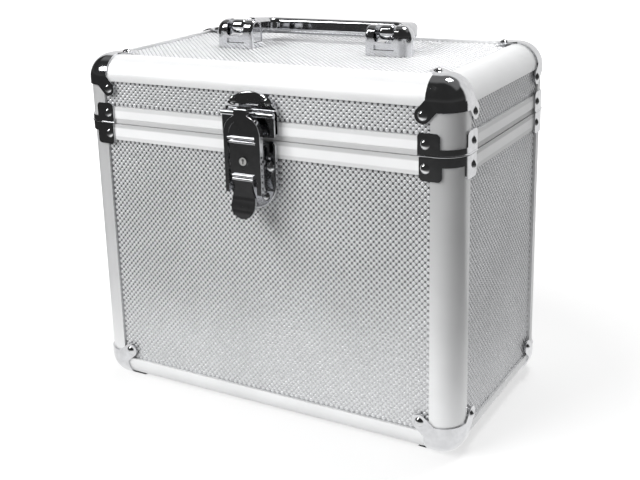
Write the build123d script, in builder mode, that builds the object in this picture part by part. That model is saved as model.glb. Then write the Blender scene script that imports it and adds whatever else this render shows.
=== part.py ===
from build123d import *
import os

# Hard drive case: a dimpled aluminium box with a hinged lid, a folding top handle and a keyed draw latch.
# Millimetres, +Z up. The front is at -Y, and the origin is under the middle of the whole case.

# Overall case, over the aluminium edge extrusions
case_width = 230.0
case_depth = 132.0
case_height = 200.0
lid_height = 38.0
parting_gap = 0.3

# Edge extrusions and panels
edge_radius = 12.5
column_leg = 15.0
rail_leg = 13.5
flange_thickness = 1.6
panel_thickness = 3.0
inner_flange = 1.2
channel_depth = 5.0
body_rim_height = 9.5
lid_rim_height = 10.0
body_rim_channel = 3.4
tongue_height = 3.5
tongue_clearance = 0.5
rim_recess_depth = 0.5
rim_recess_height = 3.0

# Corner caps and parting plates
cap_thickness = 0.9
cap_reach = 17.5
top_cap_drop = 16.0
top_ear = (18.6, 17.6)
bottom_cap_rise = 17.5
bottom_ear = (20.0, 19.0)
ear_radius = 4.2
foot_reach = 24.0
foot_turn_up = 0.3
plate_inner = {"bottom": 8.6, "top": 9.6}
plate_outer = {"bottom": 20.4, "top": 21.2}
plate_height = {"bottom": 11.8, "top": 11.8}
strap_height = {"bottom": 4.6, "top": 4.0}
plate_corner = 2.2
plate_rivet_inset = 17.2
plate_rivet_rise = {"bottom": 5.5, "top": 6.2}
seam_bead_radius = 0.5

# Rivets
rivet_head_radius = 2.6
rivet_head_height = 1.4
rivet_shank_radius = 1.2
rivet_tail_radius = 1.9
rivet_tail_height = 0.6

# Draw latch: reach is measured outwards from the front of the edge extrusions, and rise and drop
# are measured from the parting line
latch_base_width = 30.0
latch_base_drop = 37.5
latch_base_plate = 1.4
base_rim_reach = 3.0
base_rim_wall = 1.1
base_rivets = ((10.9, 14.0), (7.4, 30.6))
latch_window = (15.0, 13.6)
latch_window_drop = 18.5
catch_drop = 19.5
catch_height = 4.9
catch_width = 9.0
catch_reach = 2.5
catch_plate = 0.8
lever_pivot_reach = 6.5
lever_pivot_rise = 1.0
hook_pivot_reach = 8.2
hook_pivot_drop = 9.9
lever_pin_radius = 1.0
hook_pin_radius = 1.1
running_clearance = 0.05
side_clearance = 0.3
ear_plate = 1.3
ear_clearance = 0.4
ear_boss_radius = 1.9
ear_root = 0.2
ear_corner = 0.3
ear_window_gap = 0.4
base_edge = 0.4
lever_flange = 1.4
lever_boss_radius = 2.0
hook_boss_radius = 2.2
lever_width = 16.2
lever_plate = 1.4
lever_back = 9.4
lever_step_drop = 18.6
lever_end_drop = 40.9
bead_radius = 0.75
bead_spacing = 1.9
tongue_back = 10.2
tongue_root = 12.6
tongue_neck = 10.8
tongue_width = 14.8
tongue_curl = 12.0
lever_reach = 13.6
lock_drop = 10.0
lock_dot = (4.9, 0.5)
plug_radius = 2.2
plug_reach = 11.1
plug_back = 4.4
housing_wall = 0.8
housing_back = 5.2
housing_rise = 0.5
keyway = (0.8, 2.8)
keyway_depth = 4.0
cam_plate = 0.8
cam_back = 3.6
cam_length = 6.8
cam_width = 2.4
hook_width = 22.4
hook_plate = 1.2
hook_back = 10.8
hook_arch_rise = 4.1
hook_end_drop = 27.2
hook_window_rise = 1.9
hook_window_gap = 0.5
hook_edge = 0.6
hook_recess_depth = 0.7
hook_recess_lift = 1.4
hook_wall = 1.2
hook_wall_back = 6.0
hook_upper_wall_back = 8.3
hook_upper_wall_drop = 1.0
claw_width = 8.0
claw_plate = 2.4
claw_edge = 0.8
claw_reach = 6.45
claw_lift = 0.55
claw_clearance = 0.25
strike_width = 32.0
strike_bottom_rise = 2.6
strike_dome_height = 10.6
strike_dome_reach = 3.3
strike_dome_edge = 1.3
strike_shoulder_rise = 1.3
strike_slope = (1.5, 2.0)
strike_plate = 1.4
strike_front = 4.8
strike_wall = 1.2
roll_radius = 1.4
strike_rivet_spread = 10.5
strike_rivet_drop = 5.6
strike_spot_depth = 1.3

# Folding handle
handle_spacing = 95.6
bracket_half_depth = 6.5
bracket_cheek = 5.5
bracket_dome_inset = 2.2
bracket_edge = 1.6
handle_pivot_rise = 10.8
handle_pivot_cover = 4.2
knuckle_side_gap = 1.2
knuckle_under_gap = 1.0
notch_corner = 3.0
bracket_frame = 1.8
bracket_recess = 1.2
cheek_recess = 0.5
handle_arm_width = 8.0
handle_knuckle_radius = 4.2
handle_knuckle_width = 9.6
knuckle_edge = 2.4
handle_reach = 34.0
handle_drop = 3.8
handle_bar_height = 9.6
handle_bar_thickness = 8.6
handle_bar_edge = 3.0
handle_neck_height = 7.2
handle_neck_reach = 5.0
handle_corner = 11.0
handle_inner_corner = 5.0
handle_pin_radius = 1.7
handle_screw_radius = 1.9
handle_screw_head = (3.4, 2.0)
handle_screw_grip = 5.0
handle_screw_insets = (2.8, 1.4)

# Rear hinges
hinge_spacing = 124.0
hinge_width = 32.0
hinge_leaf = 1.2
hinge_pin_radius = 1.1
hinge_knuckle_radius = 2.6
hinge_stand_off = 0.3
hinge_leaf_height = 8.6
hinge_segment_gap = 0.3

# Foam lining and drive slots
foam_gap = 0.3
foam_base_height = 10.0
foam_top_drop = 37.0
drive_slots = 6
slot_width = 26.7
end_pad_width = 7.8
foam_strip_width = 8.4
lid_foam_rise = 13.0
screw_pocket_clearance = 0.5

# Worked-out places
parting_height = case_height - lid_height
shell_depth = flange_thickness + panel_thickness + inner_flange
case_bottom = cap_thickness
hinge_axis_offset = hinge_stand_off + hinge_knuckle_radius
rear_reach = hinge_axis_offset + hinge_knuckle_radius
front_y = lever_reach - (case_depth + lever_reach + rear_reach) / 2
back_y = front_y + case_depth
middle_y = (front_y + back_y) / 2
half_width = case_width / 2
half_depth = case_depth / 2
body_top = parting_height - parting_gap / 2
lid_bottom = parting_height + parting_gap / 2
panel_outset = flange_thickness
column_panel_edge = column_leg - channel_depth
rail_panel_edge = rail_leg - channel_depth
hinge_y = back_y + hinge_axis_offset
rim_top = parting_height + lid_rim_height
rail_bottom = case_height - rail_leg
cut_margin = 1.0

# Worked-out places of the latch
latch_base_bottom = parting_height - latch_base_drop
latch_window_bottom = parting_height - latch_window_drop
catch_bottom = parting_height - catch_drop
catch_top = catch_bottom + catch_height
lever_pivot = (lever_pivot_reach, parting_height + lever_pivot_rise)
hook_pivot = (hook_pivot_reach, parting_height - hook_pivot_drop)
ear_inner = lever_width / 2 - lever_flange - ear_clearance - ear_plate
lever_step = parting_height - lever_step_drop
lever_end = parting_height - lever_end_drop
lever_front = lever_back + lever_plate
lock_height = parting_height - lock_drop
hook_front = hook_back + hook_plate
hook_arch_height = parting_height + hook_arch_rise
hook_bottom = parting_height - hook_end_drop
hook_window_top = parting_height + hook_window_rise
hook_window = lever_width / 2 + hook_window_gap
claw_bottom = hook_arch_height + hook_width / 2 + claw_lift
roll_height = claw_bottom - claw_clearance - roll_radius
strike_bottom = parting_height + strike_bottom_rise
strike_shoulder = roll_height + strike_shoulder_rise
strike_top = strike_shoulder + strike_dome_height
strike_rivet_height = strike_top - strike_rivet_drop
strike_spot_reach = strike_dome_reach - strike_spot_depth

# Worked-out places of the handle
notch_half = handle_knuckle_width / 2 + knuckle_side_gap
notch_middle = handle_spacing / 2
bracket_inner = notch_middle - notch_half - bracket_cheek
bracket_dome_start = notch_middle + notch_half + bracket_dome_inset
handle_pivot_height = case_height + handle_pivot_rise
bracket_top = handle_pivot_height + handle_pivot_cover
notch_bottom = handle_pivot_height - handle_knuckle_radius - knuckle_under_gap

# Worked-out places of the foam
foam_top = parting_height - foam_top_drop
lid_foam_bottom = parting_height + lid_foam_rise
foam_width = case_width - 2 * (shell_depth + foam_gap)
foam_depth = case_depth - 2 * (shell_depth + foam_gap)
slot_depth = foam_depth - 2 * foam_strip_width
divider_width = (foam_width - drive_slots * slot_width - 2 * end_pad_width) / (drive_slots - 1)

os.makedirs("parts", exist_ok=True)


def save(piece, name):
    # Labels a finished piece and writes it as one file.
    piece.part.label = name
    export_step(piece.part, f"parts/{name}.step")


def front_plane(reach):
    # A plane that faces forwards, reach mm in front of the front extrusions.
    return Plane.XZ.offset(reach - front_y)


def back_plane(reach):
    # A plane that faces backwards, reach mm behind the back extrusions; its x runs towards -X.
    return Plane(origin=(0, back_y + reach, 0), x_dir=(-1, 0, 0), z_dir=(0, 1, 0))


def side_plane(side, reach):
    # A plane that faces outwards on the right (+1) or the left (-1); its x is measured from the middle depth.
    return Plane(
        origin=(side * (half_width + reach), middle_y, 0), x_dir=(0, side, 0), z_dir=(side, 0, 0)
    )


def profile_plane(x_place):
    # A plane across the latch: its x is the reach outwards, and its y is the height.
    return Plane(origin=(x_place, front_y, 0), x_dir=(0, -1, 0), z_dir=(-1, 0, 0))


def edge_section(leg_x, leg_y):
    # Section of an edge extrusion: its rounded corner is at the origin, with a panel channel in each leg.
    with BuildSketch() as section:
        Rectangle(leg_x, shell_depth, align=(Align.MIN, Align.MIN))
        Rectangle(shell_depth, leg_y, align=(Align.MIN, Align.MIN))
        fillet(section.vertices().sort_by_distance((0, 0, 0))[0], edge_radius)
        with Locations((leg_x, flange_thickness)):
            Rectangle(channel_depth, panel_thickness, align=(Align.MAX, Align.MIN), mode=Mode.SUBTRACT)
        with Locations((flange_thickness, leg_y)):
            Rectangle(panel_thickness, channel_depth, align=(Align.MIN, Align.MAX), mode=Mode.SUBTRACT)
    return section.sketch


def rim_section(height, channel, tongue):
    # Section of a rim bar: x runs inwards from the outer face, and y runs away from the parting line.
    with BuildSketch() as section:
        Rectangle(shell_depth, height, align=(Align.MIN, Align.MIN))
        with Locations((flange_thickness, height)):
            Rectangle(panel_thickness, channel, align=(Align.MIN, Align.MAX), mode=Mode.SUBTRACT)
        if tongue:
            with Locations((shell_depth, 0)):
                Rectangle(inner_flange, tongue_height, align=(Align.MAX, Align.MAX))
        else:
            Rectangle(
                rim_recess_depth, rim_recess_height, align=(Align.MIN, Align.MIN), mode=Mode.SUBTRACT
            )
            with Locations((shell_depth, 0)):
                Rectangle(
                    inner_flange + tongue_clearance,
                    tongue_height + tongue_clearance,
                    align=(Align.MAX, Align.MIN),
                    mode=Mode.SUBTRACT,
                )
    return section.sketch


def rounded_block(grow):
    # The whole case as one rounded block, grown outwards by a thickness.
    with BuildPart() as block:
        with Locations((0, middle_y, case_bottom - grow)):
            Box(
                case_width + 2 * grow,
                case_depth + 2 * grow,
                case_height - case_bottom + 2 * grow,
                align=(Align.CENTER, Align.CENTER, Align.MIN),
            )
        fillet(block.edges(), edge_radius + grow)
    return block.part


def rivet_shape(grip):
    # A domed rivet: its head sits on the origin's plane, and its shank goes grip mm down to a flat tail.
    head_sphere = (rivet_head_radius**2 + rivet_head_height**2) / (2 * rivet_head_height)
    with BuildPart() as rivet:
        with BuildSketch(Plane.XZ):
            with BuildLine():
                Line((0, 0), (rivet_head_radius, 0))
                RadiusArc((rivet_head_radius, 0), (0, rivet_head_height), -head_sphere)
                Line((0, rivet_head_height), (0, 0))
            make_face()
        revolve(axis=Axis.Z)
        Cylinder(rivet_shank_radius, grip, align=(Align.CENTER, Align.CENTER, Align.MAX))
        with Locations((0, 0, -grip)):
            Cylinder(
                rivet_tail_radius, rivet_tail_height, align=(Align.CENTER, Align.CENTER, Align.MAX)
            )
    return rivet.part


case_block = rounded_block(0)
cap_shell = rounded_block(cap_thickness) - case_block
panel_grip = cap_thickness + flange_thickness + panel_thickness
rim_grip = cap_thickness + shell_depth

# Rivet places on each face, as (across, height) or (across, depth) in that face's plane
cap_heights = {"bottom": case_bottom + bottom_ear[1], "top": case_height - top_ear[1]}
cap_insets = {"bottom": bottom_ear[0], "top": top_ear[0]}
plate_rivet_heights = {
    "bottom": body_top - plate_rivet_rise["bottom"],
    "top": lid_bottom + plate_rivet_rise["top"],
}


def wall_planes():
    # The four walls' outward planes at the extrusions' faces, each with half its width.
    return [
        (front_plane(0), half_width),
        (back_plane(0), half_width),
        (side_plane(1, 0), half_depth),
        (side_plane(-1, 0), half_depth),
    ]


def wall_points(inset, height):
    # Planes at two mirrored points of each wall, inset from its ends.
    points = []
    for plane, half in wall_planes():
        for side in (-1, 1):
            points.append(plane * Pos(side * (half - inset), height, 0))
    return points


def top_points():
    # Planes at the third ear of each top cap, on the lid's top face.
    return [
        Location((side_x * (half_width - top_ear[0]), middle_y + side_y * (half_depth - top_ear[0]), case_height))
        for side_x in (-1, 1)
        for side_y in (-1, 1)
    ]


def cap_points(end):
    # Every ear of the four caps at one end of the case; the feet under the bottom caps have none.
    level = top_points() if end == "top" else []
    return wall_points(cap_insets[end], cap_heights[end]) + level


def plate_points(end):
    # Every rivet of the corner plates on one side of the parting line.
    return wall_points(plate_rivet_inset, plate_rivet_heights[end])


def drill(points, radius):
    # Cuts a through hole for a rivet or screw at each point of the part being built.
    with Locations(*points):
        Cylinder(radius, 8 * panel_thickness, mode=Mode.SUBTRACT)


def write_panels():
    # Floor, lid top and the eight wall panels, seated in the channels of the extrusions.
    level_x = case_width - 2 * rail_panel_edge
    level_y = case_depth - 2 * rail_panel_edge
    with BuildPart() as floor_panel:
        with Locations((0, middle_y, case_bottom + panel_outset)):
            Box(level_x, level_y, panel_thickness, align=(Align.CENTER, Align.CENTER, Align.MIN))
    save(floor_panel, "floor_panel")
    with BuildPart() as lid_top_panel:
        with Locations((0, middle_y, case_height - panel_outset)):
            Box(level_x, level_y, panel_thickness, align=(Align.CENTER, Align.CENTER, Align.MAX))
        drill(top_points(), rivet_shank_radius)
        drill([Location((x, y, case_height)) for x, y in handle_screw_places()], handle_screw_radius)
    save(lid_top_panel, "lid_top_panel")

    body_low = case_bottom + rail_panel_edge
    body_high = parting_height - body_rim_height + body_rim_channel
    lid_low = parting_height + lid_rim_height - channel_depth
    lid_high = case_height - rail_panel_edge
    wall_names = ["front", "back", "right", "left"]
    for name, (plane, half) in zip(wall_names, wall_planes()):
        width = 2 * (half - column_panel_edge)
        with BuildPart() as body_panel:
            with BuildSketch(plane.offset(-panel_outset)):
                with Locations((0, body_low)):
                    Rectangle(width, body_high - body_low, align=(Align.CENTER, Align.MIN))
            extrude(amount=-panel_thickness)
            drill(cap_points("bottom") + plate_points("bottom"), rivet_shank_radius)
            if name == "front":
                drill(base_rivet_points(), rivet_shank_radius)
            if name == "back":
                drill(hinge_rivet_points(-1), rivet_shank_radius)
        save(body_panel, f"{name}_panel")
        with BuildPart() as lid_panel:
            with BuildSketch(plane.offset(-panel_outset)):
                with Locations((0, lid_low)):
                    Rectangle(width, lid_high - lid_low, align=(Align.CENTER, Align.MIN))
            extrude(amount=-panel_thickness)
            drill(cap_points("top") + plate_points("top"), rivet_shank_radius)
            if name == "front":
                drill(strike_rivet_points(), rivet_shank_radius)
            if name == "back":
                drill(hinge_rivet_points(1), rivet_shank_radius)
        save(lid_panel, f"lid_{name}_panel")


def write_columns():
    # The four corner columns of the body, and the four short ones of the lid.
    body_span = (case_bottom + rail_leg, body_top)
    lid_span = (lid_bottom, case_height - rail_leg)
    for file_name, (low, high) in (("body_columns", body_span), ("lid_columns", lid_span)):
        with BuildPart() as columns:
            for side_x in (-1, 1):
                for side_y in (-1, 1):
                    corner = Plane(
                        origin=(side_x * half_width, middle_y + side_y * half_depth, (low + high) / 2),
                        x_dir=(-side_x, 0, 0),
                        z_dir=(0, 0, side_x * side_y),
                    )
                    with BuildSketch(corner):
                        add(edge_section(column_leg, column_leg))
                    extrude(amount=(high - low) / 2, both=True)
        save(columns, file_name)


def write_rails():
    # Bottom rails of the body and top rails of the lid, which butt against the corner caps' hollows.
    for end in ("bottom", "top"):
        z_place = case_bottom if end == "bottom" else case_height
        up = 1 if end == "bottom" else -1
        prefix = "bottom_rail" if end == "bottom" else "top_rail"
        for side, name in ((-1, "front"), (1, "back")):
            corner = Plane(
                origin=(0, middle_y + side * half_depth, z_place),
                x_dir=(0, -side, 0),
                z_dir=(-side * up, 0, 0),
            )
            with BuildPart() as rail:
                with BuildSketch(corner):
                    add(edge_section(rail_leg, rail_leg))
                extrude(amount=half_width - column_leg, both=True)
            save(rail, f"{prefix}_{name}")
        for side, name in ((1, "right"), (-1, "left")):
            corner = Plane(
                origin=(side * half_width, middle_y, z_place),
                x_dir=(-side, 0, 0),
                z_dir=(0, side * up, 0),
            )
            with BuildPart() as rail:
                with BuildSketch(corner):
                    add(edge_section(rail_leg, rail_leg))
                extrude(amount=half_depth - column_leg, both=True)
            save(rail, f"{prefix}_{name}")


def write_rims():
    # Rim bars each side of the parting line: the body's carry the tongue, and the lid's clear it.
    for end in ("body", "lid"):
        tongue = end == "body"
        start = body_top if tongue else lid_bottom
        away = -1 if tongue else 1
        height = (body_rim_height if tongue else lid_rim_height) - parting_gap / 2
        channel = body_rim_channel if tongue else channel_depth
        for name, (plane, half) in zip(["front", "back", "right", "left"], wall_planes()):
            inwards = -plane.z_dir
            section_plane = Plane(
                origin=plane.origin + Vector(0, 0, start),
                x_dir=inwards,
                z_dir=inwards.cross(Vector(0, 0, away)),
            )
            with BuildPart() as rim:
                with BuildSketch(section_plane):
                    add(rim_section(height, channel, tongue))
                extrude(amount=half - column_leg, both=True)
                drill(plate_points("bottom" if tongue else "top"), rivet_shank_radius)
                if name == "front" and tongue:
                    drill(base_rivet_points(), rivet_shank_radius)
                if name == "back":
                    drill(hinge_rivet_points(-1 if tongue else 1), rivet_shank_radius)
            save(rim, f"{end}_rim_{name}")


def ear_outline(reach, drop, ear):
    # One face of a corner cap, in that face's own corner coordinates: a square corner with a diagonal ear.
    neck = (reach - ear_radius, drop - ear_radius)
    with BuildSketch() as outline:
        with Locations((-cut_margin, -cut_margin)):
            Rectangle(reach + cut_margin, drop + cut_margin, align=(Align.MIN, Align.MIN))
        with BuildSketch(mode=Mode.PRIVATE) as ear_tab:
            with Locations(ear):
                Circle(ear_radius)
            with Locations(neck):
                Circle(ear_radius)
            make_hull(ear_tab.edges())
        add(ear_tab.sketch)
    return outline.sketch


def write_caps():
    # Drawn corner caps: a skin over the corner, with a riveted ear on each of its three faces.
    for end in ("bottom", "top"):
        z_place = case_bottom if end == "bottom" else case_height
        up = 1 if end == "bottom" else -1
        drop = bottom_cap_rise if end == "bottom" else top_cap_drop
        ear = bottom_ear if end == "bottom" else top_ear
        corner = Vector(half_width, front_y, z_place)
        front_face = Plane(origin=corner, x_dir=(-1, 0, 0), z_dir=(0, up, 0))
        side_face = Plane(origin=corner, x_dir=(0, 1, 0), z_dir=(up, 0, 0))
        level_face = Plane(origin=corner, x_dir=(-1, 0, 0), z_dir=(0, 0, -1))
        ear_layer = flange_thickness + cap_thickness
        with BuildPart() as region:
            with BuildSketch(front_face.offset(-up * cut_margin)):
                Rectangle(2 * cap_reach, 2 * drop)
            extrude(amount=up * (cap_reach + cut_margin))
            with BuildSketch(front_face.offset(-up * cut_margin)):
                add(ear_outline(cap_reach, drop, ear))
            extrude(amount=up * (ear_layer + cut_margin))
            with BuildSketch(side_face.offset(up * cut_margin)):
                add(ear_outline(cap_reach, drop, ear))
            extrude(amount=-up * (ear_layer + cut_margin))
            with BuildSketch(level_face.offset(up * cut_margin)):
                if end == "top":
                    add(ear_outline(cap_reach, cap_reach, (ear[0], ear[0])))
                else:
                    RectangleRounded(2 * foot_reach, 2 * foot_reach, plate_corner)
            level_layer = ear_layer if end == "top" else foot_turn_up
            extrude(amount=-up * (level_layer + cut_margin))
        with BuildPart() as caps:
            add(region.part & cap_shell)
            mirror(about=Plane.YZ)
            mirror(about=Plane.XZ.offset(-middle_y))
            drill(cap_points(end), rivet_shank_radius)
        save(caps, f"{end}_corner_caps")


def seam_bead(reach):
    # The rolled lower edge of one lid corner plate: a round bead along its skin, from end to end.
    skin_x = half_width + cap_thickness
    skin_y = front_y - cap_thickness
    with BuildPart(mode=Mode.PRIVATE) as bead:
        with BuildLine(Plane.XY.offset(lid_bottom + seam_bead_radius)) as path:
            FilletPolyline(
                (half_width - reach, skin_y),
                (skin_x, skin_y),
                (skin_x, front_y + reach),
                radius=edge_radius + cap_thickness,
            )
        start = Plane(path.line @ 0, z_dir=path.line % 0)
        with BuildSketch(start):
            Circle(seam_bead_radius)
        sweep(path=path.line)
    return bead.part


def write_corner_plates():
    # Plates that strap round the columns each side of the parting line, and lie on the rims' ends.
    for end, prefix in (("bottom", "body"), ("top", "lid")):
        away = -1 if end == "bottom" else 1
        start = body_top if end == "bottom" else lid_bottom
        corner = Vector(half_width, front_y, start)
        front_face = Plane(origin=corner, x_dir=(-1, 0, 0), z_dir=(0, away, 0))
        side_face = Plane(origin=corner, x_dir=(0, 1, 0), z_dir=(away, 0, 0))
        outer = plate_outer[end]
        inner = plate_inner[end]
        with BuildPart() as strap:
            with BuildSketch(Plane.XY.offset(start)):
                with Locations((half_width, front_y)):
                    Rectangle(2 * outer, 2 * outer)
            extrude(amount=away * strap_height[end])
        with BuildPart() as tabs:
            for face in (front_face, side_face):
                with BuildSketch(face):
                    with BuildSketch(mode=Mode.PRIVATE) as tab:
                        with Locations((inner, 0)):
                            Rectangle(outer - inner, plate_height[end], align=(Align.MIN, Align.MIN))
                        fillet(tab.vertices().group_by(Axis.Y)[-1], plate_corner)
                    add(tab.sketch)
                extrude(amount=flange_thickness, both=True)
        with BuildPart() as plates:
            add((strap.part + tabs.part) & cap_shell)
            if end == "top":
                add(seam_bead(outer))
            mirror(about=Plane.YZ)
            mirror(about=Plane.XZ.offset(-middle_y))
            drill(plate_points(end), rivet_shank_radius)
        save(plates, f"{prefix}_corner_plates")


def place_rivets(groups, name):
    # One node of separate rivets: each group is its points, how far its heads stand out, and its grip.
    with BuildPart() as rivets:
        for points, stand_out, grip in groups:
            shape = rivet_shape(grip)
            for point in points:
                with Locations(point * Pos(0, 0, stand_out)):
                    add(shape)
    save(rivets, name)


def base_rivet_points():
    # Four rivets through the latch's base plate.
    return [
        front_plane(0) * Pos(side * across, parting_height - drop, 0)
        for across, drop in base_rivets
        for side in (-1, 1)
    ]


def strike_rivet_points():
    # Two rivets through the strike plate's dome.
    return [
        front_plane(0) * Pos(side * strike_rivet_spread, strike_rivet_height, 0) for side in (-1, 1)
    ]


hinge_rivet_spread = 11.0
hinge_rivet_offset = 6.0


def hinge_rivet_points(up):
    # Two rivets in each hinge leaf: up is +1 for the lid's leaves and -1 for the body's.
    points = []
    for hinge in (-1, 1):
        for side in (-1, 1):
            x_place = hinge * hinge_spacing / 2 + side * hinge_rivet_spread
            points.append(back_plane(0) * Pos(-x_place, parting_height + up * hinge_rivet_offset, 0))
    return points


def handle_screw_places():
    # Two screws up into each handle bracket.
    inner_inset, outer_inset = handle_screw_insets
    across = (bracket_inner + inner_inset, bracket_dome_start + outer_inset)
    return [(side * x, middle_y) for side in (-1, 1) for x in across]


def base_outline(inset):
    # Outline of the latch's base plate, square at the top and round at the bottom, drawn in by an inset.
    half = latch_base_width / 2
    arc_height = latch_base_bottom + half
    radius = half - inset
    with BuildSketch() as outline:
        with BuildLine():
            Line((-radius, arc_height), (-radius, body_top))
            Line((-radius, body_top), (radius, body_top))
            Line((radius, body_top), (radius, arc_height))
            ThreePointArc((radius, arc_height), (0, arc_height - radius), (-radius, arc_height))
        make_face()
        fillet(outline.vertices().group_by(Axis.Y)[-1], plate_corner)
    return outline.sketch


def cross_hole(place, radius):
    # A hole along X through the part being built, at a (reach, height) place of the latch.
    with Locations(Location((0, front_y - place[0], place[1]), (0, 90, 0))):
        Cylinder(radius, case_width, mode=Mode.SUBTRACT)


def write_latch_base():
    # Base plate on the body: pivot ears for the lever, and the catch that the lock's cam turns behind.
    body_rim_bottom = parting_height - body_rim_height
    window_x, window_z = latch_window
    foot_low = latch_window_bottom + window_z + ear_window_gap
    foot_reach_out = latch_base_plate + ear_root
    with BuildPart() as base:
        with BuildSketch(front_plane(0)):
            add(base_outline(0))
        extrude(amount=latch_base_plate)
        with BuildSketch(front_plane(latch_base_plate)):
            add(base_outline(0))
            add(base_outline(base_rim_wall), mode=Mode.SUBTRACT)
            with Locations((0, body_top)):
                Rectangle(
                    latch_base_width - 2 * base_rim_wall, 2 * base_rim_wall, mode=Mode.SUBTRACT
                )
        extrude(amount=base_rim_reach - latch_base_plate)
        fillet(base.faces().sort_by(Axis.Y)[0].edges(), base_edge)
        with BuildSketch(front_plane(-flange_thickness)):
            add(base_outline(0))
            with Locations((0, body_rim_bottom - side_clearance)):
                Rectangle(
                    2 * latch_base_width, case_height, align=(Align.CENTER, Align.MIN), mode=Mode.SUBTRACT
                )
        extrude(amount=flange_thickness)
        with Locations((0, front_y - latch_base_plate, latch_window_bottom)):
            Box(
                window_x,
                4 * latch_base_plate + 2 * flange_thickness,
                window_z,
                align=(Align.CENTER, Align.CENTER, Align.MIN),
                mode=Mode.SUBTRACT,
            )
        for side in (-1, 1):
            with BuildSketch(profile_plane(side * (ear_inner + ear_plate / 2))):
                with BuildLine():
                    Polyline(
                        (ear_root, foot_low), (latch_base_plate, foot_low), lever_pivot,
                        (latch_base_plate, body_top), (ear_root, body_top), close=True,
                    )
                make_face()
            extrude(amount=ear_plate / 2, both=True)
            with BuildSketch(profile_plane(side * (ear_inner + ear_plate / 2))) as ear:
                with Locations(lever_pivot):
                    Circle(ear_boss_radius)
                with Locations((foot_reach_out, body_top - ear_corner), (foot_reach_out, foot_low + ear_corner)):
                    Circle(ear_corner)
                make_hull(ear.edges())
            extrude(amount=ear_plate / 2, both=True)
        with BuildSketch(profile_plane(0)):
            with BuildLine():
                catch_front = catch_reach + catch_plate
                Polyline(
                    (ear_root, catch_bottom), (catch_front, catch_bottom), (catch_front, catch_top),
                    (catch_reach, catch_top), (catch_reach, catch_bottom + catch_plate),
                    (ear_root, catch_bottom + catch_plate), close=True,
                )
            make_face()
        extrude(amount=catch_width / 2, both=True)
        drill(base_rivet_points(), rivet_shank_radius)
        cross_hole(lever_pivot, lever_pin_radius)
    save(base, "latch_base")

    with BuildPart() as lever_pin:
        with Locations(Location((0, front_y - lever_pivot[0], lever_pivot[1]), (0, 90, 0))):
            Cylinder(lever_pin_radius, lever_width)
    save(lever_pin, "latch_lever_pin")


def tongue_outline():
    # Front outline of the lever's finger tongue: it narrows at the neck and widens to a round end.
    root = tongue_root / 2
    neck = tongue_neck / 2
    wide = tongue_width / 2
    root_height = lever_step + bead_spacing
    neck_height = lever_step - 2 * bead_spacing
    wide_height = lever_end + wide
    with BuildSketch() as outline:
        with BuildLine():
            ThreePointArc((wide, wide_height), (0, lever_end), (-wide, wide_height))
            Spline(
                (-wide, wide_height), (-neck, neck_height), (-root, root_height),
                tangents=[(0, 1), (0, 1)],
            )
            Line((-root, root_height), (root, root_height))
            Spline(
                (root, root_height), (neck, neck_height), (wide, wide_height),
                tangents=[(0, -1), (0, -1)],
            )
        make_face()
    return outline.sketch


def cross_beads(reach, heights, width):
    # Round beads pressed across a plate of the latch, at a reach and some heights.
    for height in heights:
        with Locations(Location((0, front_y - reach, height), (0, 90, 0))):
            Cylinder(bead_radius, width)


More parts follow.
